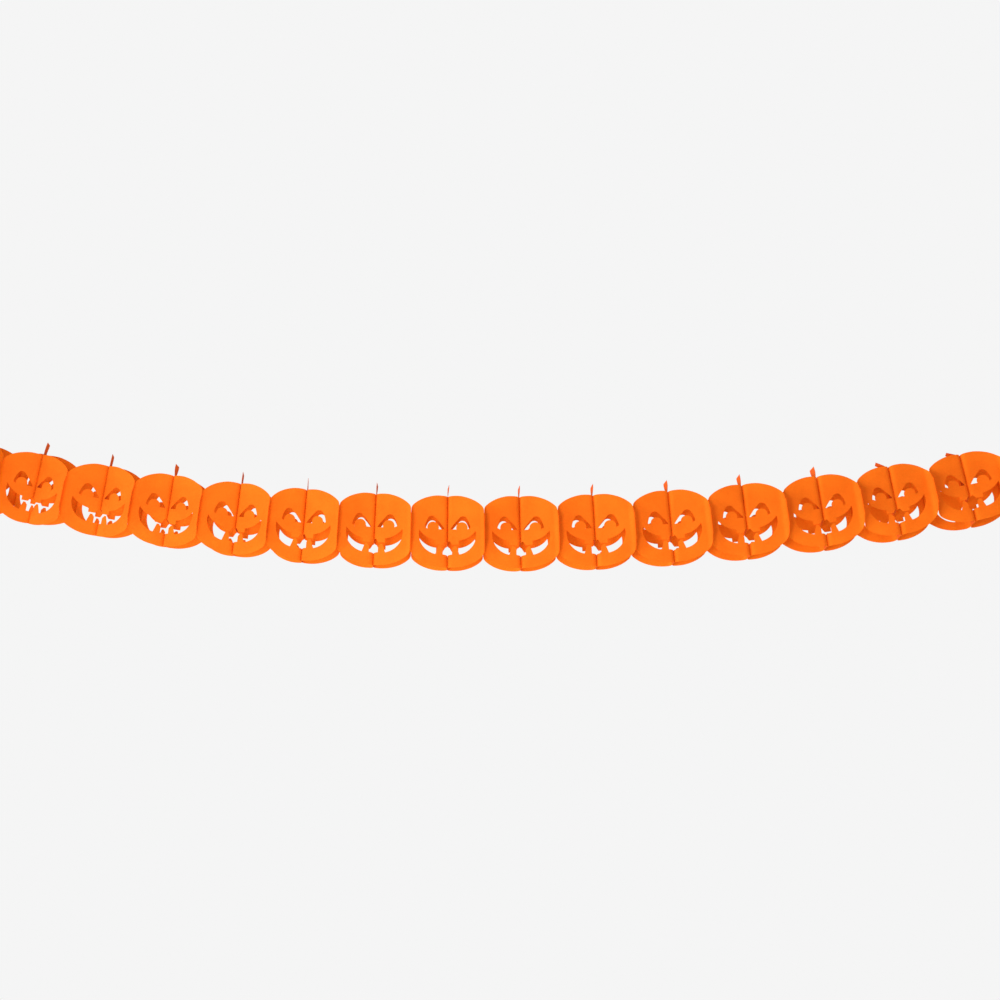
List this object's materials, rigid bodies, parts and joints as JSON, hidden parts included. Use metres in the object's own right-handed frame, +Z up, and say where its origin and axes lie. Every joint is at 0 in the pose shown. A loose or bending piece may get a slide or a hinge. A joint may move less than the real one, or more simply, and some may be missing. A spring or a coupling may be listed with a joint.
{
  "type": "paper chain garland",
  "caption": "Die-cut orange paper pumpkin garland, glued in turn at middle and edges, pulled open in a shallow hanging curve with a stiff card at each end.",
  "frame": {"origin": "point on the outer face of the left end card where the garland is pinned up, 40 mm above the card's middle", "axes": "+X along the row towards the other end card, -Y towards the front that the faces look out of, +Z up"},
  "size_m": [1.5049, 0.1356, 0.2168],
  "materials": {
    "orange_paper": "matt dyed paper",
    "orange_card": "matt dyed card"
  },
  "bodies": {
    "root": {"paper_sheet_01": "orange_paper", "paper_sheet_02": "orange_paper", "paper_sheet_03": "orange_paper", "paper_sheet_04": "orange_paper", "paper_sheet_05": "orange_paper", "paper_sheet_06": "orange_paper", "paper_sheet_07": "orange_paper", "paper_sheet_08": "orange_paper", "paper_sheet_09": "orange_paper", "paper_sheet_10": "orange_paper", "paper_sheet_11": "orange_paper", "paper_sheet_12": "orange_paper", "paper_sheet_13": "orange_paper", "paper_sheet_14": "orange_paper", "paper_sheet_15": "orange_paper", "paper_sheet_16": "orange_paper", "paper_sheet_17": "orange_paper", "paper_sheet_18": "orange_paper", "paper_sheet_19": "orange_paper", "paper_sheet_20": "orange_paper", "paper_sheet_21": "orange_paper", "paper_sheet_22": "orange_paper", "paper_sheet_23": "orange_paper", "paper_sheet_24": "orange_paper", "paper_sheet_25": "orange_paper", "paper_sheet_26": "orange_paper", "paper_sheet_27": "orange_paper", "paper_sheet_28": "orange_paper", "paper_sheet_29": "orange_paper", "paper_sheet_30": "orange_paper", "end_card_left": "orange_card", "end_card_right": "orange_card"}
  },
  "joints": []
}
